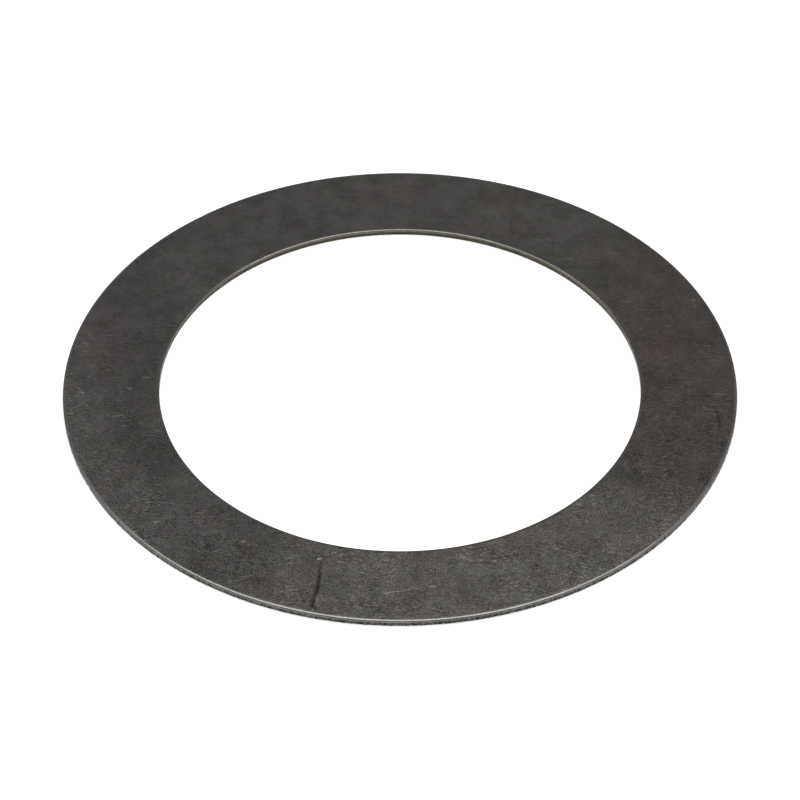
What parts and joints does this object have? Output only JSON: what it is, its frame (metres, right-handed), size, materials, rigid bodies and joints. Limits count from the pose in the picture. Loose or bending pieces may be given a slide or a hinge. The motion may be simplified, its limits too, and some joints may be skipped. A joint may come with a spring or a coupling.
{
  "type": "thrust washer",
  "caption": "Thin flat steel ring stamped from strip, with a rolled-over upper edge and a torn lower edge on its rim and its bore.",
  "frame": {"origin": "centre of the bottom (burr side) face, on the axis of the bore", "axes": "+Z along the bore axis, from the burr side to the rolled-over side; -Y is the side nearest the camera"},
  "size_m": [0.0888, 0.0888, 0.0008],
  "materials": {
    "dark_steel": "dark, dull as-rolled steel with fine handling scratches; brighter where the die burnished the cut edges"
  },
  "bodies": {
    "root": {"thrust_washer": "dark_steel"}
  },
  "joints": []
}
